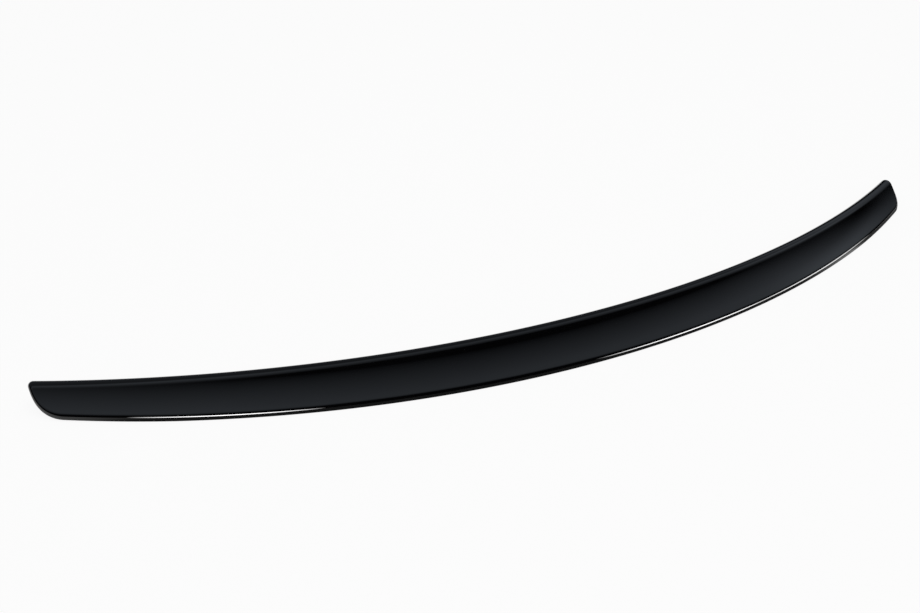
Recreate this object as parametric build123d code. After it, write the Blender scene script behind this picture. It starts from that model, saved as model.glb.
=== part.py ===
from build123d import *
import os
from math import acos, asin, atan, atan2, ceil, cos, degrees, hypot, radians, sin, sqrt, tan

# Slim rear lip spoiler, one moulded shell of gloss-black plastic.
# A concave face runs back from a rolled front edge to a thin rounded trailing rim. A return flange follows the
# rim round the rear corners and up the cut ends. Underneath is a shallow ribbed tray behind a bonding land.
# The lip stands on the level foot of its rear flange, as it comes to rest on a table.
# Frame: X along the lip, +Y towards the front of the car, Z up, origin under the middle of its box.

# Plan, seen along the mould's draw
front_width = 1100.0  # between the two front corners
front_bow = 140.0  # how far the front corners stand ahead of the middle of the front edge
middle_chord = 51.0  # front edge to rear wall at the middle of the lip
end_chord = 34.0  # the same at the front corners
end_flare = 22.5  # degrees that each end cut turns outwards on its way back
corner_radius = 46.0  # rear corners in plan

# Section, from the front edge back
roll_radius = 9.0  # convex roll along the front edge
nose_depth = 5.5  # crest of the roll to the lower corner of the front edge
steepest_angle = 50.0  # degrees of fall where the roll runs into the concave face
sweep_radius = 95.0  # concave face
rim_radius = 5.0  # rounding along the trailing rim, the corners and the ends
rear_depth = 5.6  # skin to the foot of the return flange at the middle of the rear
tip_depth = 4.6  # skin to the bottom of the flange at the front corners

# Tray under the skin
skin_wall = 3.0
flange_wall = 3.0
land_width = 9.0  # bonding land, from the front edge back to the tray
rib_wall = 1.8
rib_pitch = 92.0
rib_recess = 1.2  # ribs end this far above the bottom of the flange as moulded

# Stance
lean_angle = 2.8  # degrees that the mould's draw leans forward when the lip stands on its foot
foot_margin = 0.3  # trimmed off past what makes the foot level right across the flange

# Working values
overlap = 10.0  # how far a cutting body passes the surface that it cuts
fine = 1e-3  # closeness at which two places count as one

# Plan arcs, both centred in the lip's plane of symmetry
half_width = front_width / 2
front_radius = (half_width**2 + front_bow**2) / (2 * front_bow)
half_angle = asin(half_width / front_radius)
draw_axis = Axis((0, front_radius, 0), (0, 0, 1))
end_x = (front_radius + end_chord) * sin(half_angle)
end_y = front_radius - (front_radius + end_chord) * cos(half_angle)
rear_sag = end_y + middle_chord
rear_radius = (end_x**2 + rear_sag**2) / (2 * rear_sag)
rear_centre_y = rear_radius - middle_chord

# Section arcs, in distance w behind the front edge and height z over the crest, tangent at their join
fall = radians(steepest_angle)
join_w = roll_radius * (1 + sin(fall))
join_z = roll_radius * (cos(fall) - 1)
sweep_w = join_w + sweep_radius * sin(fall)
sweep_z = join_z + sweep_radius * cos(fall)
section_end = middle_chord + overlap
section_floor = -2 * section_end

# The flange is moulded parallel to the skin, deeper than its foot, then trimmed level
rim_fall = asin((sweep_w - middle_chord) / sweep_radius)
moulded_depth = rear_depth + flange_wall * tan(rim_fall) + foot_margin
flange_tilt = degrees(atan((moulded_depth - tip_depth) / (middle_chord + front_bow)))


def section_point(w, z):
    """A point of the middle section, in the plane of symmetry."""
    return Vector(0, -w, z)


def roll_point(angle, inset=0.0):
    """The roll's point where it falls by an angle towards the rear, or the same on a surface inset under it."""
    radius = roll_radius - inset
    return section_point(roll_radius + radius * sin(angle), radius * cos(angle) - roll_radius)


def skin_height(w, inset=0.0):
    """Height of the skin, or of a surface inset under it, at a distance behind the front edge."""
    if w <= join_w - inset * sin(fall):
        return sqrt((roll_radius - inset) ** 2 - (w - roll_radius) ** 2) - roll_radius
    return sweep_z - sqrt((sweep_radius + inset) ** 2 - (sweep_w - w) ** 2)


def skin_path(inset=0.0, first_angle=-radians(90)):
    """Roll and sweep of the skin, from where the roll has its first angle to past the rear."""
    middle_w = (join_w + section_end) / 2
    middle = section_point(middle_w, skin_height(middle_w, inset))
    tail = section_point(section_end, skin_height(section_end, inset))
    join = roll_point(fall, inset)
    roll = ThreePointArc(roll_point(first_angle, inset), roll_point((first_angle + fall) / 2, inset), join)
    return [roll, ThreePointArc(join, middle, tail)]


def turned(path):
    """Everything under a path of the section, carried round the draw axis past both ends of the lip."""
    front = path[0] @ 0
    tail = path[-1] @ 1
    front_foot = Vector(0, front.Y, section_floor)
    tail_foot = Vector(0, tail.Y, section_floor)
    feet = [Line(tail, tail_foot), Line(tail_foot, front_foot), Line(front_foot, front)]
    arc = 2 * degrees(half_angle + 4 * overlap / front_radius)
    ring = revolve(make_face(Wire([*path, *feet])), axis=draw_axis, revolution_arc=arc)
    return ring.rotate(draw_axis, -arc / 2)


def below(depth):
    """Everything under the skin let down by a depth at the middle of the rear, and by less at the tips.

    Ahead of the let-down roll the surface is a flat land, which leaves that roll at a tangent and runs
    forward through the lower corner of the front edge.
    """
    back = sqrt(roll_radius**2 - (roll_radius - nose_depth) ** 2)
    down = roll_radius + depth - nose_depth
    land_angle = acos(roll_radius / hypot(back, down)) - atan2(back, down)
    path = skin_path(first_angle=land_angle)
    land_end = path[0] @ 0
    ahead = land_end + section_point(-2 * overlap, 2 * overlap * tan(land_angle))
    rear = Axis((0, -middle_chord, skin_height(middle_chord)), (1, 0, 0))
    return Pos(0, 0, -depth) * turned([Line(ahead, land_end), *path]).rotate(rear, flange_tilt)


def plan(inset=0.0):
    """The lip's outline in plan, inset at its rear and ends and passing its front edge."""
    flare = radians(end_flare)
    along = Vector(sin(flare), -cos(flare))
    outward = Vector(cos(flare), sin(flare))
    tip = Vector(half_width, front_bow) - outward * inset
    reach = tip - Vector(0, rear_centre_y)
    towards = reach.dot(along)
    end_length = sqrt(towards**2 - reach.dot(reach) + (rear_radius - inset) ** 2) - towards
    corner = tip + along * end_length
    ahead = tip - along * overlap
    corner_left = Vector(-corner.X, corner.Y)
    ahead_left = Vector(-ahead.X, ahead.Y)
    rear = ThreePointArc(corner, Vector(0, inset - middle_chord), corner_left)
    front = ThreePointArc(ahead_left, Vector(0, overlap), ahead)
    outline = make_face(Wire([Line(ahead, corner), rear, Line(corner_left, ahead_left), front]))
    by_width = outline.vertices().sort_by(Axis.X)
    return fillet([by_width[0], by_width[-1]], corner_radius - inset)


def column(outline):
    """An outline drawn out over the whole height of the section."""
    return extrude(outline, amount=2 * section_end, both=True)


def behind_front(point):
    """Distance of a point behind the front edge's upright."""
    return hypot(point.X, front_radius - point.Y) - front_radius


def is_rim(edge):
    """Whether an edge of the blank runs where the outline cuts the skin or stands at a front corner."""
    start, middle, end = edge @ 0, edge @ 0.5, edge @ 1
    w = behind_front(middle)
    upright = abs(w) < fine and abs(start.X - end.X) < fine
    on_skin = w > fine and abs(middle.Z - skin_height(w)) < fine
    along_join = abs(w - join_w) < fine and abs(behind_front(start) - join_w) < fine
    return upright or (on_skin and not along_join)


def ribs():
    """Thin upright plates across the tray, evenly spread along it and square to the front edge."""
    spaces = 2 * ceil(front_radius * half_angle / rib_pitch)
    step = 2 * degrees(half_angle) / spaces
    plate = Pos(0, -section_end / 2, 0) * Box(rib_wall, 2 * section_end, -2 * section_floor)
    return Part() + [plate.rotate(draw_axis, step * (n - spaces / 2)) for n in range(1, spaces)]


def tray():
    """The hollow under the skin, behind the land and inside the flange, with the ribs left standing in it."""
    first_angle = asin((land_width - roll_radius) / (roll_radius - skin_wall))
    hollow = turned(skin_path(skin_wall, first_angle)) & column(plan(flange_wall))
    return hollow - (ribs() - below(moulded_depth - rib_recess))


def stood(lip):
    """The lip leaned forward onto its rear flange, trimmed level at the foot and set over its origin."""
    lean = radians(lean_angle)
    foot_z = skin_height(middle_chord) - rear_depth
    level = middle_chord * sin(lean) + foot_z * cos(lean)
    room = Box(2 * front_width, 2 * front_width, -2 * section_floor)
    standing = (Rot(X=-lean_angle) * lip) & (Pos(0, 0, level - section_floor) * room)
    return Pos(0, -standing.bounding_box().center().Y, -level) * standing


blank = column(plan()) & turned(skin_path())
rounded = fillet([edge for edge in blank.edges() if is_rim(edge)], rim_radius)
spoiler_lip = stood(rounded - below(moulded_depth) - tray())

os.makedirs("parts", exist_ok=True)
export_step(spoiler_lip, "parts/spoiler_lip.step")
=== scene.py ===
import logging
from dataclasses import dataclass, field
from enum import Enum, IntEnum
from math import acos, asin, atan, atan2, ceil, cos, hypot, pi, radians, sin, sqrt, tan
from typing import Any, Callable

import bmesh
import bpy
import numpy as np
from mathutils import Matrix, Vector
from numpy.typing import NDArray


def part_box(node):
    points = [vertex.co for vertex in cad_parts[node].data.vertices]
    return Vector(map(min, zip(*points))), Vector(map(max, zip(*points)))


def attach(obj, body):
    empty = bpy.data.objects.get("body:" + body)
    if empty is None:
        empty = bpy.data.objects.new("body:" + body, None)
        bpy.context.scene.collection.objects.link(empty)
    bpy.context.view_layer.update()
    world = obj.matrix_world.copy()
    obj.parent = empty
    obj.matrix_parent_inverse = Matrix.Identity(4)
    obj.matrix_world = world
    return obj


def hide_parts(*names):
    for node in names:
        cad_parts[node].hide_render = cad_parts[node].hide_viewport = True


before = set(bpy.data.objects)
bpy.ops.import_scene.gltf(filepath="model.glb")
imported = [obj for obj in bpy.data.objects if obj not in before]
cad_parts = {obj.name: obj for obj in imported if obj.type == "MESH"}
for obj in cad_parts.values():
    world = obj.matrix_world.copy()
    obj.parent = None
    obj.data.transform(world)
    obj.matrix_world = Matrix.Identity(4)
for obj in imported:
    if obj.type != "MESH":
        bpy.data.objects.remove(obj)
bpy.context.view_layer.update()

Array = NDArray[np.float64]
Socket = bpy.types.NodeSocket

MILLIMETRE = 0.001  # in metres, the unit of the scene
TINY = 1e-9  # keeps a division off zero
MIX_COLOURS = (6, 7)  # numbers of a Mix node's two colour inputs
NOISE_SPAN = (0.3, 0.7)  # what a noise texture mostly stays between
LOG = logging.getLogger("lip")


def bisect(function: Callable[[Array], Array], low: Array, high: Array, steps: int = 48) -> Array:
    """Solves function = 0 for a whole array at once, by halving.

    Args:
        function: Rises through zero between low and high, element by element.
        low: Where the function is below zero.
        high: Where it is above zero.
        steps: How many times the interval is halved.

    Returns:
        The solutions.
    """
    for _ in range(steps):
        middle = (low + high) / 2
        under = function(middle) < 0
        low, high = np.where(under, middle, low), np.where(under, high, middle)
    return (low + high) / 2


def between(start: Array, end: Array, count: int) -> Array:
    """Rows of points on the straight lines from start to end, both included, in so many equal steps."""
    share = np.linspace(0, 1, count + 1)[:, None, None]
    return start + (end - start) * share


@dataclass(frozen=True)
class LipForm:
    """Sizes of the lip in millimetres and degrees, and the surfaces that bound it.

    Everything is in the mould's frame: x along the lip, y towards the front of the car, z along the mould's
    draw, with zero at the middle of the front edge and at the crest of its roll. A place on the skin is given
    by w, the distance behind the front edge, and by turn, the angle round the upright axis that the front
    edge is bent about.
    """

    front_width: float = 1100.0
    front_bow: float = 140.0
    middle_chord: float = 51.0
    end_chord: float = 34.0
    end_flare: float = 22.5
    corner_radius: float = 46.0
    roll_radius: float = 9.0
    nose_depth: float = 5.5
    steepest_angle: float = 50.0
    sweep_radius: float = 95.0
    rim_radius: float = 5.0
    rear_depth: float = 5.6
    tip_depth: float = 4.6
    skin_wall: float = 3.0
    flange_wall: float = 3.0
    land_width: float = 9.0
    rib_wall: float = 1.8
    rib_pitch: float = 92.0
    rib_recess: float = 1.2
    lean_angle: float = 2.8
    foot_margin: float = 0.3
    landing_steps: int = 8  # onto the turned underside

    @property
    def half_width(self) -> float:
        """Half of the width between the front corners."""
        return self.front_width / 2

    @property
    def front_radius(self) -> float:
        """Radius of the front edge in plan."""
        return (self.half_width**2 + self.front_bow**2) / (2 * self.front_bow)

    @property
    def half_turn(self) -> float:
        """Angle from the middle of the front edge to a front corner."""
        return asin(self.half_width / self.front_radius)

    @property
    def rear_radius(self) -> float:
        """Radius of the trailing rim in plan."""
        reach = self.front_radius + self.end_chord
        end_x = reach * sin(self.half_turn)
        sag = self.front_radius - reach * cos(self.half_turn) + self.middle_chord
        return (end_x**2 + sag**2) / (2 * sag)

    @property
    def rear_centre(self) -> float:
        """Place of the trailing rim's centre along y."""
        return self.rear_radius - self.middle_chord

    @property
    def fall(self) -> float:
        """Steepest fall of the skin, where the roll runs into the concave face."""
        return radians(self.steepest_angle)

    @property
    def join(self) -> tuple[float, float]:
        """Place (w, z) where the roll runs into the concave face."""
        return self.roll_radius * (1 + sin(self.fall)), self.roll_radius * (cos(self.fall) - 1)

    @property
    def sweep_centre(self) -> tuple[float, float]:
        """Centre (w, z) of the concave face's arc."""
        w, z = self.join
        return w + self.sweep_radius * sin(self.fall), z + self.sweep_radius * cos(self.fall)

    @property
    def rear_height(self) -> float:
        """Height of the skin, not yet rounded, at the middle of the trailing rim."""
        return float(self.skin(np.array(self.middle_chord)))

    @property
    def moulded_depth(self) -> float:
        """Depth of the flange under the skin at the middle of the rear, before its foot is trimmed level."""
        rim_fall = asin((self.sweep_centre[0] - self.middle_chord) / self.sweep_radius)
        return self.rear_depth + self.flange_wall * tan(rim_fall) + self.foot_margin

    @property
    def rib_depth(self) -> float:
        """Depth of the ribs under the skin at the middle of the rear."""
        return self.moulded_depth - self.rib_recess

    def skin(self, w: Array, inset: float = 0.0) -> Array:
        """Height of the skin, or of a surface inset under it: the roll's arc and then the concave arc.

        Args:
            w: Distances behind the front edge.
            inset: Distance under the skin, square to it.

        Returns:
            Heights over the crest.
        """
        sweep_w, sweep_z = self.sweep_centre
        on_roll = w <= self.join[0] - inset * sin(self.fall)
        roll_square = (self.roll_radius - inset) ** 2 - (w - self.roll_radius) ** 2
        roll = np.sqrt(np.maximum(roll_square, 0)) - self.roll_radius
        ahead = np.minimum(sweep_w - w, self.sweep_radius)
        sweep = sweep_z - np.sqrt((self.sweep_radius + inset) ** 2 - ahead**2)
        return np.where(on_roll, roll, sweep)

    def skin_at(self, length: Array) -> tuple[Array, Array]:
        """Place (w, z) on the skin at a length of section behind the crest.

        The roll turns by the length over its radius as far as the steepest fall, and from there the concave
        face flattens by the further length over its own radius.

        Args:
            length: Lengths along the section, negative ahead of the crest.

        Returns:
            Distances behind the front edge and heights over the crest.
        """
        sweep_w, sweep_z = self.sweep_centre
        roll = length / self.roll_radius
        sweep = self.fall - (length - self.roll_radius * self.fall) / self.sweep_radius
        rolled = roll <= self.fall
        roll_w, roll_z = self.roll_radius * (1 + np.sin(roll)), self.roll_radius * (np.cos(roll) - 1)
        w = np.where(rolled, roll_w, sweep_w - self.sweep_radius * np.sin(sweep))
        z = np.where(rolled, roll_z, sweep_z - self.sweep_radius * np.cos(sweep))
        return w, z

    def skin_length(self, w: Array) -> Array:
        """Length of section from the crest back to a distance behind the front edge, the inverse of skin_at.

        Args:
            w: Distances behind the front edge.

        Returns:
            Lengths along the section.
        """
        roll = np.arcsin(np.clip(w / self.roll_radius - 1, -1, 1))
        sweep = np.arcsin(np.clip((self.sweep_centre[0] - w) / self.sweep_radius, -1, 1))
        behind = self.roll_radius * self.fall + self.sweep_radius * (self.fall - sweep)
        return np.where(w <= self.join[0], self.roll_radius * roll, behind)

    def plan(self, w: Array, turn: Array) -> Array:
        """Plan place (x, y) of a distance behind the front edge and a turn round its centre."""
        reach = self.front_radius + w
        return np.stack([reach * np.sin(turn), self.front_radius - reach * np.cos(turn)], -1)

    def behind(self, place: Array) -> Array:
        """Distance of plan places behind the front edge."""
        return np.hypot(place[..., 0], self.front_radius - place[..., 1]) - self.front_radius

    def turn_of(self, place: Array) -> Array:
        """Turn of plan places round the front edge's centre."""
        return np.arctan2(place[..., 0], self.front_radius - place[..., 1])

    def corner(self) -> tuple[Array, Array, float]:
        """The right rear corner, an arc tangent to the rear arc and to the line of the end cut.

        Returns:
            The arc's centre in plan, the end cut's outward direction and the turn at which the rear arc ends.
        """
        flare = radians(self.end_flare)
        along, outward = np.array([sin(flare), -cos(flare)]), np.array([cos(flare), sin(flare)])
        base = np.array([self.half_width, self.front_bow]) - outward * self.corner_radius
        reach = base - np.array([0, self.rear_centre])
        towards = reach @ along
        room = self.rear_radius - self.corner_radius
        centre = base + along * (sqrt(towards**2 - reach @ reach + room**2) - towards)
        return centre, outward, atan2(centre[0], self.rear_centre - centre[1])

    def outline(self, station: Array, inset: float = 0.0) -> tuple[Array, Array]:
        """The right half of the outline in plan: rear arc, corner arc, then the end cut's straight line.

        Args:
            station: Lengths along the outline from the middle of the rear.
            inset: Distance inside the outline.

        Returns:
            Places (x, y) and the outward directions there.
        """
        centre, outward, last = self.corner()
        rear_length, sweep = self.rear_radius * last, pi / 2 + radians(self.end_flare) - last
        turn = np.minimum(station / self.rear_radius, last)
        bend = np.clip((station - rear_length) / self.corner_radius, 0, sweep)
        run = np.maximum(station - rear_length - self.corner_radius * sweep, 0)
        facing = turn + bend
        out = np.stack([np.sin(facing), -np.cos(facing)], -1)
        rear = np.array([0, self.rear_centre]) + self.rear_radius * out
        place = np.where((station <= rear_length)[..., None], rear, centre + self.corner_radius * out)
        ahead = np.array([-outward[1], outward[0]])
        return place + run[..., None] * ahead - inset * out, out

    def station_at(self, turn: Array, inset: float = 0.0) -> Array:
        """Length along the outline where the inset rear arc is met by a line from the front edge's centre."""
        offset = self.front_radius - self.rear_centre
        room = (self.rear_radius - inset) ** 2 - (offset * np.sin(turn)) ** 2
        reach = offset * np.cos(turn) + np.sqrt(room)
        return self.rear_radius * np.arctan2(reach * np.sin(turn), reach * np.cos(turn) - offset)

    def under(self, place: Array, depth: float) -> Array:
        """Height of the underside over plan places.

        It is the skin let down by a depth and turned about the middle of the rear, so that it rises to the
        skin towards the tips. Ahead of the let-down roll it is a flat land through the lower corner of the
        front edge. The turned surface is met along an upright line by stepping onto it again and again.

        Args:
            place: Plan places (x, y).
            depth: Depth under the skin at the middle of the rear.

        Returns:
            Heights over the crest.
        """
        back = sqrt(self.roll_radius**2 - (self.roll_radius - self.nose_depth) ** 2)
        down = self.roll_radius + depth - self.nose_depth
        slope = acos(self.roll_radius / hypot(back, down)) - atan2(back, down)
        land_w, land_z = self.roll_radius * (1 + sin(slope)), self.roll_radius * (cos(slope) - 1)
        tilt = atan((self.moulded_depth - self.tip_depth) / (self.middle_chord + self.front_bow))
        height = np.full(place.shape[:-1], self.rear_height)
        for _ in range(self.landing_steps):
            y, z = place[..., 1] + self.middle_chord, height + depth - self.rear_height
            flat_y, flat_z = y * cos(tilt) + z * sin(tilt), z * cos(tilt) - y * sin(tilt)
            w = self.behind(np.stack([place[..., 0], flat_y - self.middle_chord], -1))
            land = land_z + (land_w - w) * tan(slope)
            surface = np.where(w < land_w, land, self.skin(np.maximum(w, land_w)))
            height = height + surface - (flat_z + self.rear_height)
        return height

    def level(self, place: Array) -> Array:
        """Height of the foot's level plane over plan places, in the mould's frame."""
        foot = self.rear_height - self.rear_depth
        return foot + (place[..., 1] + self.middle_chord) * tan(radians(self.lean_angle))

    def bottom(self, place: Array) -> Array:
        """Height of the flange's foot and of the bonding land: the underside, trimmed level."""
        return np.maximum(self.under(place, self.moulded_depth), self.level(place))

    def on_bottom(self, place: Array) -> Array:
        """Points on the flange's foot or on the bonding land over plan places."""
        return np.concatenate([place, self.bottom(place)[..., None]], -1)

    def ball(self, station: Array) -> tuple[Array, Array, Array]:
        """The ball that rounds the rim, rolled along inside the wall and under the skin.

        Args:
            station: Lengths along the outline.

        Returns:
            The ball's centres, the outward directions of the wall and the upward directions of the skin.
        """
        inner, out = self.outline(station, self.rim_radius)
        w = self.behind(inner)
        z = self.skin(w, self.rim_radius)
        sweep_w, sweep_z = self.sweep_centre
        roll, sweep = self.roll_radius - self.rim_radius, self.sweep_radius + self.rim_radius
        on_roll = w <= self.join[0] - self.rim_radius * sin(self.fall)
        back = np.where(on_roll, (w - self.roll_radius) / roll, (sweep_w - w) / sweep)
        rise = np.where(on_roll, (z + self.roll_radius) / roll, (sweep_z - z) / sweep)
        turn = self.turn_of(inner)
        normal = np.stack([back * np.sin(turn), -back * np.cos(turn), rise], -1)
        wall = np.concatenate([out, np.zeros_like(out[..., :1])], -1)
        return np.concatenate([inner, z[..., None]], -1), wall, normal

    def rim(self, station: Array, share: Array) -> Array:
        """Points on the rounded rim: the ball's arc from the wall up to the skin.

        Args:
            station: Lengths along the outline.
            share: Shares of the arc, 0 at the wall and 1 at the skin.

        Returns:
            Points (x, y, z).
        """
        centre, wall, normal = self.ball(station)
        angle = np.arccos(np.clip(np.sum(wall * normal, -1), -1, 1))
        from_wall = (np.sin((1 - share) * angle) / np.sin(angle))[..., None] * wall
        from_skin = (np.sin(share * angle) / np.sin(angle))[..., None] * normal
        return centre + self.rim_radius * (from_wall + from_skin)

    def stood(self, points: Array) -> Array:
        """Points leaned forward onto the foot, with the foot at zero height and its rearmost point at zero y.

        Args:
            points: Points (x, y, z) in the mould's frame.

        Returns:
            The same points as the lip stands.
        """
        lean = radians(self.lean_angle)
        foot = np.array([0.0, -self.middle_chord, self.rear_height - self.rear_depth])
        x, y, z = np.moveaxis(points - foot, -1, 0)
        return np.stack([x, y * cos(lean) + z * sin(lean), z * cos(lean) - y * sin(lean)], -1)


@dataclass(frozen=True)
class LipLines:
    """Where each column of the lip's grid crosses the four lines that bound its surfaces, from tip to tip.

    Each line is that of the right half, and side says which half a column is in.
    """

    station: Array  # along the outline
    nose_turn: Array  # along the front edge
    inner_station: Array  # along the flange's inner wall
    tray_turn: Array  # along the tray's front wall
    side: Array  # 1 right, -1 left
    rib: NDArray[np.bool_]  # true across a rib


@dataclass(frozen=True)
class LipGrid:
    """How finely the lip's surface is divided, and the closed ring of rows that it is made of."""

    form: LipForm
    column_pitch: float = 1.8  # millimetres along the lip
    end_columns: int = 90  # from the last rib round the corner to where the face ends
    tip_columns: int = 16  # from there to the tip of the rounded end
    roll_rows: int = 20
    sweep_rows: int = 28
    rim_rows: int = 14
    wall_rows: int = 3
    strip_rows: int = 2  # across the foot and the bonding land, and up the walls of the tray
    tray_rows: int = 16
    past_rib: float = 0.1  # share of a rib's space by which the square columns pass the last rib
    rib_room: float = 0.3  # share of a column's pitch kept free beside a rib
    tray_ease: float = 1.5  # power that draws the tray's rows towards the bonding land
    nose_back: float = 83.0  # degrees ahead of the crest at which the search for the front corner starts
    edge_break: float = 0.4  # millimetres of rounding on the moulded edges
    edge_share: float = 0.45  # the most of a neighbouring side that the rounding takes
    edge_rows: int = 3
    arc_samples: int = 65  # places at which the rim's arc is held against the underside
    touch: float = 1e-6  # millimetres at which it counts as lying on it

    def end_span(self, inset: float) -> tuple[Array, Array]:
        """Stations that hold a tip between them.

        Args:
            inset: How far the line that is followed lies inside the outline.

        Returns:
            Where the rear arc ends, and where the inset line comes as near to the front edge as it is inset.
        """
        form = self.form
        corner = np.array([form.rear_radius * form.corner()[2]])
        past = corner + 2 * form.corner_radius + form.end_chord
        just_inside = 1.001 * inset
        return corner, bisect(lambda s: just_inside - form.behind(form.outline(s, inset)[0]), corner, past)

    def clear(self, station: Array, share: Array) -> Array:
        """Height of the rim's arc over the underside."""
        point = self.form.rim(station, share)
        return point[..., 2] - self.form.bottom(point[..., :2])

    def peak(self, station: Array) -> tuple[Array, Array]:
        """Shares at which the rim's arc stands highest over the underside, and how high that is."""
        samples = np.linspace(0, 1, self.arc_samples)[:, None]
        share = np.broadcast_to(samples, (self.arc_samples, len(station)))
        height = self.clear(np.broadcast_to(station, share.shape), share)
        best = np.argmax(height, axis=0)
        return share[best, 0], height[best, np.arange(len(station))]

    def cuts(self, station: Array) -> tuple[Array, Array]:
        """Shares between which the rim's arc stands clear of the underside.

        Args:
            station: Lengths along the outline.

        Returns:
            The lower share, 0 where the wall goes on below the arc, and the upper, 1 where the face goes on.
        """
        none, (top, height) = np.zeros_like(station), self.peak(station)
        low = bisect(lambda share: self.clear(station, share), none, top)
        high = bisect(lambda share: -self.clear(station, share), top, none + 1)
        low = np.where(self.clear(station, none) > 0, 0, low)
        high = np.where(self.clear(station, none + 1) > -self.touch, 1, high)
        gone = height < self.touch
        return np.where(gone, top, low), np.where(gone, top, high)

    def tip_stations(self) -> tuple[float, float]:
        """Stations where the rim's arc meets the underside with its upper end, and as a whole."""
        start, end = self.end_span(self.form.rim_radius)
        face = bisect(lambda s: -self.clear(s, np.ones_like(s)), start, end)
        arc = bisect(lambda s: -self.peak(s)[1], face, end)
        return float(face[0]), float(arc[0])

    def inner_tip_station(self) -> float:
        """Station at which the flange's inner wall meets the tray's front wall."""
        form = self.form
        wall = form.flange_wall
        start, end = self.end_span(wall)
        return float(bisect(lambda s: form.land_width - form.behind(form.outline(s, wall)[0]), start, end)[0])

    def rib_turns(self) -> tuple[Array, float]:
        """Turns of the ribs, evenly spread between the front corners, and the space between two of them."""
        form = self.form
        spaces = 2 * ceil(form.front_radius * form.half_turn / form.rib_pitch)
        step = 2 * form.half_turn / spaces
        return step * (np.arange(1, spaces) - spaces / 2), step

    def lines(self) -> LipLines:
        """Columns from the left tip to the right tip.

        Between the last ribs a column runs square to the front edge, and two columns lie on each side of a
        rib, one of the tray and one of the rib. Beyond the last ribs the columns fan out evenly round the
        corner to where the face ends, and close up from there to the tip.

        Returns:
            The columns' places.
        """
        form = self.form
        ribs, step = self.rib_turns()
        half_rib = asin(form.rib_wall / 2 / (form.front_radius + (form.land_width + form.middle_chord) / 2))
        last = ribs[-1] + step * self.past_rib
        count = 2 * ceil(last * form.front_radius / self.column_pitch)
        plain, pitch = np.linspace(-last, last, count + 1, retstep=True)
        plain = plain[np.min(np.abs(plain[:, None] - ribs), axis=1) > half_rib + self.rib_room * pitch]
        turn = np.concatenate([plain, *[ribs + half_rib * side for side in (-1, 1, -1, 1)]])
        kind = np.concatenate([np.zeros(len(plain)), np.repeat([0, 2, 1, 1], len(ribs))])
        order = np.lexsort((kind, turn))
        turn, rib = turn[order], kind[order] == 1

        (face_tip, tip), inner_tip = self.tip_stations(), self.inner_tip_station()
        nose_tip = form.rim(np.array(face_tip), np.array(1.0))[:2]
        tray_tip = form.outline(np.array(inner_tip), form.flange_wall)[0]
        size = np.abs(turn)
        middles = [form.station_at(size), size, form.station_at(size, form.flange_wall), size]
        face_tips = [face_tip, form.turn_of(nose_tip), inner_tip, form.turn_of(tray_tip)]
        tips = [tip, *face_tips[1:]]
        share = np.linspace(0, 1, self.end_columns + 1)[1:]
        easing = 1 - np.linspace(1, 0, self.tip_columns + 1)[1:] ** 2
        ends = [np.concatenate([middle[-1] + (face - middle[-1]) * share, face + (end - face) * easing])
                for middle, face, end in zip(middles, face_tips, tips)]
        lines = [np.concatenate([end[::-1], middle, end]) for middle, end in zip(middles, ends)]
        no_rib = np.zeros(self.end_columns + self.tip_columns, bool)
        side = np.concatenate([no_rib - 1.0, np.where(turn < 0, -1, 1), no_rib + 1.0])
        return LipLines(*lines, side, np.concatenate([no_rib, rib, no_rib]))

    def skin_rows(self, lines: LipLines) -> Array:
        """The skin from the lower corner of the front edge, over the roll and down the face to the rim's arc.

        A row lies at one share of the section's length in every column, and goes from the column's place on
        the front edge to its place on the rim by the same share of turn. Past the end of the face all rows
        lie on the upper end of the rim's arc.

        Args:
            lines: The columns.

        Returns:
            Rows of points.
        """
        form = self.form

        def over_land(angle: Array) -> Array:
            """Height of the roll's front over the bonding land."""
            w, z = form.skin_at(form.roll_radius * angle)
            return z - form.bottom(form.plan(w, lines.nose_turn))

        none = np.zeros_like(lines.station)
        start = form.roll_radius * bisect(over_land, none - radians(self.nose_back), none)
        contact = form.rim(lines.station, none + 1)[:, :2]
        end = form.skin_length(form.behind(contact))
        roll_share = (form.roll_radius * form.fall - start) / np.maximum(end - start, TINY)
        knot = np.minimum(roll_share, self.roll_rows / (self.roll_rows + self.sweep_rows))
        on_roll = np.linspace(0, 1, self.roll_rows + 1)[:, None] * knot
        on_sweep = knot + np.linspace(0, 1, self.sweep_rows + 1)[1:, None] * (1 - knot)
        share = np.concatenate([on_roll, on_sweep])
        w, z = form.skin_at(start + (end - start) * share)
        turn = lines.nose_turn + (form.turn_of(contact) - lines.nose_turn) * share
        upper = self.cuts(lines.station)[1]
        faced = (upper >= 1)[:, None]
        face = np.concatenate([form.plan(w, turn), z[..., None]], -1)
        return np.where(faced, face, form.rim(lines.station, upper))

    def rim_and_wall(self, lines: LipLines) -> Array:
        """The rim's arc down to where the underside cuts it or to the wall, and then the upright wall.

        Args:
            lines: The columns.

        Returns:
            Rows of points.
        """
        form = self.form
        lower, upper = self.cuts(lines.station)
        share = upper + (lower - upper) * np.linspace(0, 1, self.rim_rows + 1)[:, None]
        arc = form.rim(np.broadcast_to(lines.station, share.shape), share)
        foot = form.on_bottom(arc[-1, :, :2])
        return np.concatenate([arc, between(arc[-1], foot, self.wall_rows)[1:]])

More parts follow.
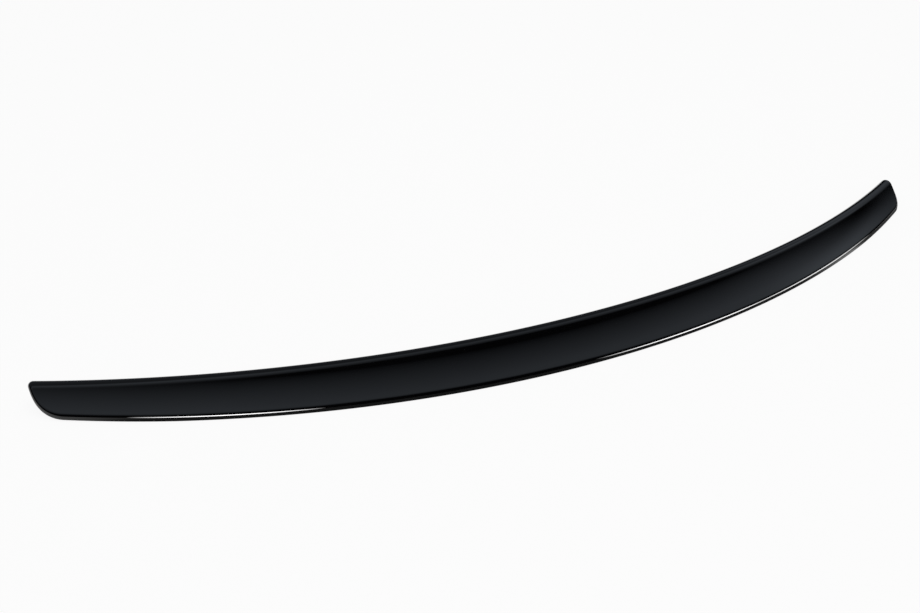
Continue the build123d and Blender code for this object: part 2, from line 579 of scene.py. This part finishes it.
    def tray(self, lines: LipLines) -> Array:
        """The hollow side: up the flange's inner wall, forward under the skin, down behind the bonding land.

        Across a rib the rows stop at the rib's edge instead of going up to the skin.

        Args:
            lines: The columns.

        Returns:
            Rows of points.
        """
        form = self.form
        place = form.outline(lines.inner_station, form.flange_wall)[0]
        first_w, first_turn = form.behind(place), form.turn_of(place)
        share = np.linspace(0, 1, self.tray_rows + 1)[:, None] ** self.tray_ease
        w = first_w + (form.land_width - first_w) * (1 - share[::-1])
        turn = first_turn + (lines.tray_turn - first_turn) * (1 - share[::-1])
        plan = form.plan(w, turn)
        rib_edge = form.under(plan, form.rib_depth)
        ceiling = np.where(lines.rib, rib_edge, form.skin(w, form.skin_wall))
        roof = np.concatenate([plan, ceiling[..., None]], -1)
        edge = np.concatenate([plan, rib_edge[..., None]], -1)
        rear_wall = between(form.on_bottom(plan[0]), edge[0], self.strip_rows)
        front_wall = between(edge[-1], form.on_bottom(plan[-1]), self.strip_rows)
        return np.concatenate([rear_wall, roof, front_wall])

    def strip(self, start: Array, end: Array) -> Array:
        """Rows across the foot or the bonding land, all on the bottom, between two rows of points."""
        plan = between(start[:, :2], end[:, :2], self.strip_rows)
        return self.form.on_bottom(plan[1:-1])

    def softened(self, ring: Array, corner: int) -> Array:
        """Rows that round off one corner of the ring, by a parabola that starts and ends on the two sides.

        Args:
            ring: All rows.
            corner: Which row is the sharp edge.

        Returns:
            The rows that take the place of the edge.
        """
        point = ring[corner]
        sides = [ring[corner - 1] - point, ring[(corner + 1) % len(ring)] - point]
        lengths = [np.maximum(np.linalg.norm(side, axis=-1, keepdims=True), TINY) for side in sides]
        reach = np.minimum(self.edge_break, self.edge_share * np.minimum(*lengths))
        start, end = (side * reach / length for side, length in zip(sides, lengths))
        share = np.linspace(0, 1, self.edge_rows + 1)[:, None, None]
        return point + (1 - share) ** 2 * start + share**2 * end

    def ring(self) -> tuple[Array, int]:
        """All rows in order round the section, with the moulded edges rounded off, in the mould's frame.

        Returns:
            Points on a grid of rows and columns, and how many rows belong to the polished outside.
        """
        lines = self.lines()
        skin, rim, tray = self.skin_rows(lines), self.rim_and_wall(lines), self.tray(lines)
        foot, land = self.strip(rim[-1], tray[0]), self.strip(tray[-1], skin[0])
        ring = np.concatenate([skin, rim[1:], foot, tray, land])
        rim_foot = len(skin) + len(rim) - 2
        flange_foot = rim_foot + len(foot) + 1
        tray_edge = flange_foot + len(tray) - 1
        corners = [0, rim_foot, flange_foot, tray_edge]
        rows = [self.softened(ring, row) if row in corners else ring[row : row + 1]
                for row in range(len(ring))]
        outside = rim_foot + 2 * self.edge_rows + 1
        points = np.concatenate(rows)
        points[..., 0] *= lines.side
        return points, outside


def linear(colour: str) -> tuple[float, float, float, float]:
    """Linear RGBA of an sRGB hex colour such as "#1a1a1c"."""
    srgb = np.array([int(colour[i : i + 2], 16) / 255 for i in (1, 3, 5)])
    rgb = np.where(srgb <= 0.04045, srgb / 12.92, ((srgb + 0.055) / 1.055) ** 2.4)
    return (*(float(value) for value in rgb), 1.0)


def grid_object(name: str, points: Array, closed: bool = False) -> bpy.types.Object:
    """An object whose mesh is a grid of points with four-sided faces between them.

    Args:
        name: Name of the object and of its mesh.
        points: Points (x, y, z) by row and column. A face's sides run down a row, along it and back up.
        closed: Whether the last row joins the first.

    Returns:
        The object, at the origin and in the scene.
    """
    rows, columns = points.shape[:2]
    spans = np.arange(rows if closed else rows - 1)
    row, column = np.meshgrid(spans, np.arange(columns - 1), indexing="ij")
    here, below = row * columns + column, (row + 1) % rows * columns + column
    mesh = bpy.data.meshes.new(name)
    faces = np.stack([here, below, below + 1, here + 1], -1)
    mesh.from_pydata(points.reshape(-1, 3), [], faces.reshape(-1, 4))
    grid = bpy.data.objects.new(name, mesh)
    bpy.context.scene.collection.objects.link(grid)
    return grid


def only_mirrored(thing: bpy.types.Object) -> None:
    """Hides a thing of the stage from all but reflections."""
    thing.visible_camera = thing.visible_diffuse = thing.visible_shadow = False


def outwards(azimuth: float, elevation: float) -> Vector:
    """Direction from the lip towards an azimuth, 0 at its rear and positive towards +X, and an elevation."""
    turn, rise = radians(azimuth), radians(elevation)
    return Vector((sin(turn) * cos(rise), -cos(turn) * cos(rise), sin(rise)))


def add_node(tree: bpy.types.NodeTree, kind: str, inputs: dict[str | int, Any],
             **settings: Any) -> bpy.types.Node:
    """Adds a node with its settings, its values and the links that lead to it.

    Args:
        tree: The material's, light's or world's nodes.
        kind: The node's type name.
        inputs: Input sockets by name or number, each with a value or with the socket that feeds it.
        **settings: Properties of the node itself.

    Returns:
        The new node.
    """
    node = tree.nodes.new(kind)
    for name, value in settings.items():
        setattr(node, name, value)
    for key, value in inputs.items():
        if isinstance(value, Socket):
            tree.links.new(value, node.inputs[key])
        else:
            node.inputs[key].default_value = value
    return node


def empty_material(name: str) -> bpy.types.Material:
    """A material with no nodes in it yet."""
    material = bpy.data.materials.new(name)
    material.use_nodes = True
    material.node_tree.nodes.clear()
    return material


class Mottle(Enum):
    """What a finish's colour follows."""

    DRIFT = "the slow clouds in its gloss"
    RELIEF = "its fine relief"


@dataclass(frozen=True)
class MouldedAbs:
    """ABS as it leaves a mould: a gloss that drifts slowly over it, a fine relief, and two near shades."""

    name: str
    colours: tuple[str, str]
    mottle: Mottle
    ior: float
    roughness: tuple[float, float]
    drift_size: float  # millimetres between clouds in the gloss
    drift_detail: float
    relief_size: float  # millimetres between the hills of the relief
    relief_detail: float
    relief_height: float  # millimetres

    def material(self) -> bpy.types.Material:
        """The finish as a material.

        Returns:
            A new material.
        """
        material = empty_material(self.name)
        tree = material.node_tree
        place = add_node(tree, "ShaderNodeTexCoord", {}).outputs["Object"]
        noises = ((self.drift_size, self.drift_detail), (self.relief_size, self.relief_detail))
        drift, relief = (add_node(tree, "ShaderNodeTexNoise", {
            "Vector": place, "Scale": 1 / (size * MILLIMETRE), "Detail": detail}).outputs["Fac"]
            for size, detail in noises)
        shade = drift if self.mottle is Mottle.DRIFT else relief
        tone = add_node(tree, "ShaderNodeMix", {
            "Factor": shade, **dict(zip(MIX_COLOURS, map(linear, self.colours)))}, data_type="RGBA")
        gloss = add_node(tree, "ShaderNodeMapRange", {
            "Value": drift, "From Min": NOISE_SPAN[0], "From Max": NOISE_SPAN[1],
            "To Min": self.roughness[0], "To Max": self.roughness[1]})
        bump = add_node(tree, "ShaderNodeBump", {
            "Height": relief, "Distance": self.relief_height * MILLIMETRE, "Strength": 1.0})
        shader = add_node(tree, "ShaderNodeBsdfPrincipled", {
            "Base Color": tone.outputs["Result"], "Roughness": gloss.outputs["Result"], "IOR": self.ior,
            "Normal": bump.outputs["Normal"]})
        add_node(tree, "ShaderNodeOutputMaterial", {"Surface": shader.outputs["BSDF"]})
        return material


@dataclass(frozen=True)
class PolishedAbs(MouldedAbs):
    """Gloss-black ABS from a polished mould: near black, a hard clear gloss and a faint orange peel.

    Slow clouds of gloss and depth show as they do under a strip lamp, and the low rounded hills of the peel
    make the edge of a reflection swim a little.
    """

    name: str = "gloss_black_abs_polished"
    colours: tuple[str, str] = ("#030304", "#060607")  # the second where the resin has flowed last
    mottle: Mottle = Mottle.DRIFT
    ior: float = 1.5
    roughness: tuple[float, float] = (0.02, 0.045)
    drift_size: float = 45.0
    drift_detail: float = 2.0
    relief_size: float = 2.4
    relief_detail: float = 0.0
    relief_height: float = 0.0006


@dataclass(frozen=True)
class SparkedAbs(MouldedAbs):
    """Black ABS from the spark-eroded core of the mould: the satin, fine-grained hidden side.

    The fine grain scatters the light into a soft sheen, and broad flow marks change it from rib to rib.
    """

    name: str = "satin_black_abs_core_side"
    colours: tuple[str, str] = ("#151517", "#1d1d20")
    mottle: Mottle = Mottle.RELIEF
    ior: float = 1.53
    roughness: tuple[float, float] = (0.42, 0.58)
    drift_size: float = 60.0
    drift_detail: float = 1.0
    relief_size: float = 0.5  # drawn coarse enough to show
    relief_detail: float = 2.0
    relief_height: float = 0.02


class Side(IntEnum):
    """Which side of the mould a face comes from, as its material's number."""

    POLISHED = 0
    CORE = 1


@dataclass
class SpoilerLip:
    """The moulded lip: one closed shell with a polished outside and a ribbed satin underside."""

    form: LipForm = field(default_factory=LipForm)
    show_finish: PolishedAbs = field(default_factory=PolishedAbs)
    core_finish: SparkedAbs = field(default_factory=SparkedAbs)
    node: str = "spoiler_lip"
    slot: str = "gloss_black_shell"
    crease_angle: float = 40.0  # degrees above which an edge stays sharp
    weld: float = 1e-6  # metres at which two points are one

    def build(self) -> bpy.types.Object:
        """Makes the shell as one grid that is closed round the section and drawn to a point at both tips.

        Returns:
            The piece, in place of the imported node.
        """
        points, outside = LipGrid(self.form).ring()
        rear, front = (corner.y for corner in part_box(self.node))
        points = self.form.stood(points) * MILLIMETRE
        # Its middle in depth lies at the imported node's, because that node's coarse ends fall a little short.
        points[..., 1] += (rear + front - points[..., 1].min() - points[..., 1].max()) / 2
        piece = grid_object("lip_shell", points, closed=True)
        row = np.repeat(np.arange(points.shape[0]), points.shape[1] - 1)
        sides = np.where(row < outside, Side.POLISHED, Side.CORE)
        piece.data.polygons.foreach_set("material_index", sides.astype(np.int32))
        self.weld_seams(piece.data)
        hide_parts(self.node)
        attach(piece, "root")
        return piece

    def weld_seams(self, mesh: bpy.types.Mesh) -> None:
        """Joins the points that meet at the tips and beside the ribs, and smooths all but the sharp edges.

        Args:
            mesh: The shell's mesh.
        """
        work = bmesh.new()
        work.from_mesh(mesh)
        bmesh.ops.remove_doubles(work, verts=work.verts, dist=self.weld)
        work.to_mesh(mesh)
        work.free()
        mesh.shade_smooth()
        mesh.set_sharp_from_angle(angle=radians(self.crease_angle))

    def dress(self, piece: bpy.types.Object) -> None:
        """Gives the shell its two finishes, in the order of Side."""
        piece.data.materials.append(self.show_finish.material())
        piece.data.materials.append(self.core_finish.material())


@dataclass
class StudioFloor:
    """A pale table that runs out to the horizon and keeps the lip's soft shadow."""

    colour: str = "#f4f4f4"
    size: float = 40.0  # metres
    drop: float = 0.0001  # metres under the lip's foot
    glow: float = 0.9  # share of plain white in what the camera sees

    def build(self) -> bpy.types.Object:
        """Makes the floor as a flat grid.

        Returns:
            The floor.
        """
        half = np.linspace(-self.size / 2, self.size / 2, 3)
        x, y = np.meshgrid(half, half, indexing="ij")
        floor = grid_object("floor", np.stack([x, y, np.full_like(x, -self.drop)], -1))
        return floor

    def dress(self, floor: bpy.types.Object) -> None:
        """Gives the floor a matt pale colour with some plain white in it for the camera and for reflections.

        Args:
            floor: The floor.
        """
        material = empty_material("matt_white_table")
        tree = material.node_tree
        path = add_node(tree, "ShaderNodeLightPath", {})
        seen = add_node(tree, "ShaderNodeMath", {
            0: path.outputs["Is Camera Ray"], 1: path.outputs["Is Glossy Ray"]}, operation="MAXIMUM")
        shown = add_node(tree, "ShaderNodeMath", {
            0: seen.outputs[0], 1: path.outputs["Is Transmission Ray"]}, operation="MAXIMUM")
        share = add_node(tree, "ShaderNodeMath", {0: shown.outputs[0], 1: self.glow}, operation="MULTIPLY")
        matt = add_node(tree, "ShaderNodeBsdfDiffuse", {"Color": linear(self.colour)})
        white = add_node(tree, "ShaderNodeEmission", {"Strength": 1.0})
        mixed = add_node(tree, "ShaderNodeMixShader", {
            "Fac": share.outputs[0], 1: matt.outputs["BSDF"], 2: white.outputs["Emission"]})
        add_node(tree, "ShaderNodeOutputMaterial", {"Surface": mixed.outputs["Shader"]})
        floor.data.materials.append(material)


@dataclass(frozen=True)
class FloorFlag:
    """A black card with soft ends on the table, mirrored only, so that the rim's wall stays dark."""

    left: tuple[float, float] = (-0.545, -0.46)  # metres along the lip between which the card comes in
    right: tuple[float, float] = (0.30, 0.40)  # metres between which it goes out
    rim: float = -0.094  # metres, where its front edge lies under the middle of the rim
    rim_radius: float = 1.076  # metres, of that edge in plan
    depth: float = 0.6  # metres behind the middle of the lip
    columns: int = 48
    drop: float = 0.00005  # metres under the lip's foot
    opacity: float = 0.85

    def build(self) -> bpy.types.Object:
        """Makes the card as a flat strip between a straight back edge and the arc of the rim.

        Returns:
            The card, seen only by reflections.
        """
        x = np.linspace(self.left[0], self.right[1], self.columns + 1)
        front = self.rim + self.rim_radius - np.sqrt(self.rim_radius**2 - x**2)
        back = np.full_like(x, -self.depth)
        level = np.full_like(x, -self.drop)
        edges = [np.stack([x, y, level], -1) for y in (back, front)]
        flag = grid_object("floor_flag", np.stack(edges, 1))
        only_mirrored(flag)
        return flag

    def dress(self, flag: bpy.types.Object) -> None:
        """Gives the card a matt black that fades out at both ends.

        Args:
            flag: The card.
        """
        material = empty_material("black_flag")
        tree = material.node_tree
        place = add_node(tree, "ShaderNodeTexCoord", {}).outputs["Object"]
        along = add_node(tree, "ShaderNodeSeparateXYZ", {0: place}).outputs["X"]
        enter = add_node(tree, "ShaderNodeMapRange", {
            "Value": along, "From Min": self.left[0], "From Max": self.left[1],
            "To Max": self.opacity}, interpolation_type="SMOOTHSTEP")
        leave = add_node(tree, "ShaderNodeMapRange", {
            "Value": along, "From Min": self.right[0], "From Max": self.right[1],
            "To Min": 1.0, "To Max": 0.0}, interpolation_type="SMOOTHSTEP")
        share = add_node(tree, "ShaderNodeMath", {
            0: enter.outputs["Result"], 1: leave.outputs["Result"]}, operation="MULTIPLY")
        through = add_node(tree, "ShaderNodeBsdfTransparent", {})
        black = add_node(tree, "ShaderNodeBsdfDiffuse", {"Color": linear("#000000")})
        mixed = add_node(tree, "ShaderNodeMixShader", {
            "Fac": share.outputs[0], 1: through.outputs["BSDF"], 2: black.outputs["BSDF"]})
        add_node(tree, "ShaderNodeOutputMaterial", {"Surface": mixed.outputs["Shader"]})
        flag.data.materials.append(material)


@dataclass
class ScrimTent:
    """A half dome of scrim that the gloss mirrors: lit overhead, dimmer behind, dark round the camera."""

    radius: float = 8.0  # metres
    rings: int = 24
    spokes: int = 72
    tint: str = "#e6f1ff"  # cool daylight
    overhead: float = 0.49
    behind: float = 0.15
    left_gain: float = 1.24  # how much brighter the scrim is towards the left end
    left_fade: tuple[float, float] = (0.2, -0.2)  # shares of the radius between which that comes in
    dark_until: float = 57.0  # degrees over the horizon on the camera's side
    bright_from: float = 92.0  # degrees, counted over the zenith
    rise_power: float = 0.75  # under 1 the light comes in quickly and then slowly
    fall: tuple[float, float] = (93.0, 110.0)  # degrees between which it sinks to the level behind
    fall_turn: float = 9.0  # degrees by which it sinks later at the right end than in the middle
    side_fade: tuple[float, float] = (15.0, 38.0)  # degrees over the horizon at the two ends
    card: float = 0.24  # level of a pale card behind the right end
    # Degrees round from the camera's side and over the horizon: in over the first two, out over the others
    card_turn: tuple[float, float, float, float] = (88.0, 100.0, 125.0, 142.0)
    card_height: tuple[float, float, float, float] = (6.0, 26.0, 28.0, 47.0)

    def build(self) -> bpy.types.Object:
        """Makes the dome: a half sphere by height angle and turn.

        Returns:
            The dome, seen only by reflections.
        """
        height, turn = np.meshgrid(
            np.linspace(0, pi / 2, self.rings + 1), np.linspace(0, 2 * pi, self.spokes + 1), indexing="ij")
        flat = np.cos(height)
        points = np.stack([flat * np.cos(turn), flat * np.sin(turn), np.sin(height)], -1)
        tent = grid_object("scrim_tent", points * self.radius)
        only_mirrored(tent)
        return tent

    def dress(self, tent: bpy.types.Object) -> None:
        """Lights the scrim by two angles over the horizon, one across the lip and one along it.

        Args:
            tent: The dome.
        """
        material = empty_material("lit_scrim")
        tree = material.node_tree
        place = add_node(tree, "ShaderNodeTexCoord", {}).outputs["Object"]
        axes = add_node(tree, "ShaderNodeSeparateXYZ", {0: place})
        nearer = add_node(tree, "ShaderNodeMath", {0: axes.outputs["Y"], 1: -1.0}, operation="MULTIPLY")
        across = add_node(tree, "ShaderNodeMath", {
            0: axes.outputs["Z"], 1: nearer.outputs[0]}, operation="ARCTAN2")
        sideways = add_node(tree, "ShaderNodeMath", {0: axes.outputs["X"]}, operation="ABSOLUTE")
        along = add_node(tree, "ShaderNodeMath", {
            0: axes.outputs["Z"], 1: sideways.outputs[0]}, operation="ARCTAN2")
        rise = add_node(tree, "ShaderNodeMapRange", {
            "Value": across.outputs[0], "From Min": radians(self.dark_until),
            "From Max": radians(self.bright_from)})
        eased = add_node(tree, "ShaderNodeMath", {
            0: rise.outputs["Result"], 1: self.rise_power}, operation="POWER")
        sooner = add_node(tree, "ShaderNodeMath", {
            0: axes.outputs["X"], 1: -radians(self.fall_turn) / self.radius, 2: across.outputs[0]},
            operation="MULTIPLY_ADD")
        sink = add_node(tree, "ShaderNodeMapRange", {
            "Value": sooner.outputs[0], "From Min": radians(self.fall[0]), "From Max": radians(self.fall[1]),
            "To Min": self.overhead, "To Max": self.behind}, interpolation_type="SMOOTHSTEP")
        ends = add_node(tree, "ShaderNodeMapRange", {
            "Value": along.outputs[0], "From Min": radians(self.side_fade[0]),
            "From Max": radians(self.side_fade[1])}, interpolation_type="SMOOTHSTEP")
        gain = add_node(tree, "ShaderNodeMapRange", {
            "Value": axes.outputs["X"], "From Min": self.radius * self.left_fade[0],
            "From Max": self.radius * self.left_fade[1], "To Min": 1.0, "To Max": self.left_gain})
        scrim = eased.outputs[0]
        for factor in (sink, gain, ends):
            scrim = add_node(tree, "ShaderNodeMath", {
                0: scrim, 1: factor.outputs["Result"]}, operation="MULTIPLY").outputs[0]
        # The card's level times how far a place has come in over each of its four edges, on top of the scrim.
        turn = add_node(tree, "ShaderNodeMath", {
            0: axes.outputs["X"], 1: nearer.outputs[0]}, operation="ARCTAN2")
        turns = [radians(angle) for angle in self.card_turn]
        heights = [self.radius * sin(radians(angle)) for angle in self.card_height]
        card: float | Socket = self.card
        for value, edges in ((turn.outputs[0], turns), (axes.outputs["Z"], heights)):
            for (start, end), (low, high) in ((edges[:2], (0.0, 1.0)), (edges[2:], (1.0, 0.0))):
                edge = add_node(tree, "ShaderNodeMapRange", {
                    "Value": value, "From Min": start, "From Max": end, "To Min": low, "To Max": high},
                    interpolation_type="SMOOTHSTEP")
                card = add_node(tree, "ShaderNodeMath", {
                    0: card, 1: edge.outputs["Result"]}, operation="MULTIPLY").outputs[0]
        strength = add_node(tree, "ShaderNodeMath", {0: card, 1: scrim}, operation="ADD")
        glow = add_node(tree, "ShaderNodeEmission", {
            "Color": linear(self.tint), "Strength": strength.outputs[0]})
        add_node(tree, "ShaderNodeOutputMaterial", {"Surface": glow.outputs["Emission"]})
        tent.data.materials.append(material)


class LampUse(Enum):
    """What a lamp is for."""

    FILL = "lights the table and what is matt"
    STRIP = "is mirrored by the gloss"


@dataclass(frozen=True)
class SoftLamp:
    """A soft lamp that faces the lip from a given direction, brightest in the middle of its length."""

    name: str
    azimuth: float  # degrees from the camera's side of the lip, positive towards +X
    elevation: float  # degrees over the floor
    distance: float  # metres from the middle of the lip
    width: float  # metres along the floor
    height: float  # metres
    radiance: float  # brightness of the middle of its face, where 1 is white
    use: LampUse = LampUse.STRIP

    def build(self) -> bpy.types.Object:
        """Makes the lamp. Its power is the middle's radiance times pi times the area of its face.

        Returns:
            The lamp.
        """
        lamp = bpy.data.lights.new(self.name, "AREA")
        lamp.shape = "RECTANGLE"
        lamp.size, lamp.size_y = self.width, self.height
        lamp.energy = self.radiance * pi * self.width * self.height
        self.shade(lamp)
        holder = bpy.data.objects.new(self.name, lamp)
        away = outwards(self.azimuth, self.elevation)
        holder.location = away * self.distance
        holder.rotation_euler = away.to_track_quat("Z", "Y").to_euler()
        holder.visible_camera = False
        holder.visible_diffuse = self.use is LampUse.FILL
        holder.visible_glossy = self.use is LampUse.STRIP
        bpy.context.scene.collection.objects.link(holder)
        return holder

    def shade(self, lamp: bpy.types.AreaLight) -> None:
        """Lets the light fall off from the middle to both ends: one less the square of the share of the way.

        Args:
            lamp: The lamp.
        """
        lamp.use_nodes = True
        tree = lamp.node_tree
        tree.nodes.clear()
        place = add_node(tree, "ShaderNodeNewGeometry", {}).outputs["Parametric"]
        along = add_node(tree, "ShaderNodeSeparateXYZ", {0: place}).outputs["X"]
        share = add_node(tree, "ShaderNodeMath", {
            0: along, 1: 2.0, 2: -1.0}, operation="MULTIPLY_ADD").outputs[0]
        square = add_node(tree, "ShaderNodeMath", {0: share, 1: share}, operation="MULTIPLY").outputs[0]
        level = add_node(tree, "ShaderNodeMath", {0: 1.0, 1: square}, operation="SUBTRACT").outputs[0]
        glow = add_node(tree, "ShaderNodeEmission", {"Strength": level})
        add_node(tree, "ShaderNodeOutputLight", {"Surface": glow.outputs["Emission"]})


@dataclass
class Studio:
    """Floor, flags, scrim, lamps and the plain white room round them."""

    floor: StudioFloor = field(default_factory=StudioFloor)
    flags: tuple[FloorFlag, ...] = (FloorFlag(), FloorFlag(left=(0.40, 0.44), right=(0.58, 0.60), rim=-0.03))
    tent: ScrimTent = field(default_factory=ScrimTent)
    lamps: tuple[SoftLamp, ...] = (
        SoftLamp("top_lamp", 0, 80, 2.2, 2.6, 2.0, 1.1, LampUse.FILL),
        SoftLamp("left_lamp", -35, 9, 2.4, 1.25, 0.6, 40.0),
        SoftLamp("right_lamp", 43, 8, 2.4, 1.4, 0.6, 30.0),
        SoftLamp("end_lamp", 68, 7, 2.4, 1.5, 0.5, 13.5),
    )
    room_light: float = 0.6  # level at which the white room lights what isn't mirrored

    def build(self) -> None:
        """Makes the stage, the lamps and the world."""
        floor = self.floor.build()
        self.floor.dress(floor)
        for flag in self.flags:
            flag.dress(flag.build())
        tent = self.tent.build()
        self.tent.dress(tent)
        for lamp in self.lamps:
            lamp.build()
        self.build_world()

    def build_world(self) -> None:
        """Makes a white room that the camera and reflections see at 1 and that lights matt things less."""
        world = bpy.data.worlds.new("white_room")
        world.use_nodes = True
        tree = world.node_tree
        tree.nodes.clear()
        path = add_node(tree, "ShaderNodeLightPath", {})
        matt = add_node(tree, "ShaderNodeMapRange", {
            "Value": path.outputs["Is Diffuse Ray"], "To Min": 1.0, "To Max": self.room_light})
        white = add_node(tree, "ShaderNodeBackground", {
            "Color": linear("#ffffff"), "Strength": matt.outputs["Result"]})
        add_node(tree, "ShaderNodeOutputWorld", {"Surface": white.outputs["Background"]})
        bpy.context.scene.world = world


@dataclass(frozen=True)
class PhotoCamera:
    """The camera of the photograph, as its outline of the lip gives it."""

    azimuth: float = -26.657  # degrees, 0 looks along +Y
    elevation: float = 29.284  # degrees
    distance: float = 1.2589  # metres to the target
    target: tuple[float, float, float] = (-0.12706, 0.0, 0.04796)  # metres
    focal_pixels: float = 1212.5
    image_width: float = 920.0  # pixels
    sensor_width: float = 36.0  # millimetres

    def build(self) -> bpy.types.Object:
        """Makes the camera and looks through it.

        Returns:
            The camera.
        """
        camera = bpy.data.cameras.new("camera")
        camera.sensor_width = self.sensor_width
        camera.lens = self.focal_pixels * self.sensor_width / self.image_width
        camera.dof.use_dof = False
        holder = bpy.data.objects.new("camera", camera)
        back = outwards(self.azimuth, self.elevation)
        holder.location = Vector(self.target) + back * self.distance
        holder.rotation_euler = back.to_track_quat("Z", "Y").to_euler()
        bpy.context.scene.collection.objects.link(holder)
        bpy.context.scene.camera = holder
        return holder


def main() -> None:
    """Builds and dresses the lip, then sets up the studio and the camera."""
    logging.basicConfig(level=logging.INFO, format="%(message)s")
    lip = SpoilerLip()
    shell = lip.build()
    lip.dress(shell)
    LOG.info("%s: %d faces in place of %s", shell.name, len(shell.data.polygons), lip.node)
    Studio().build()
    PhotoCamera().build()
    bpy.context.scene.view_settings.view_transform = "Standard"


if __name__ == "__main__":
    main()
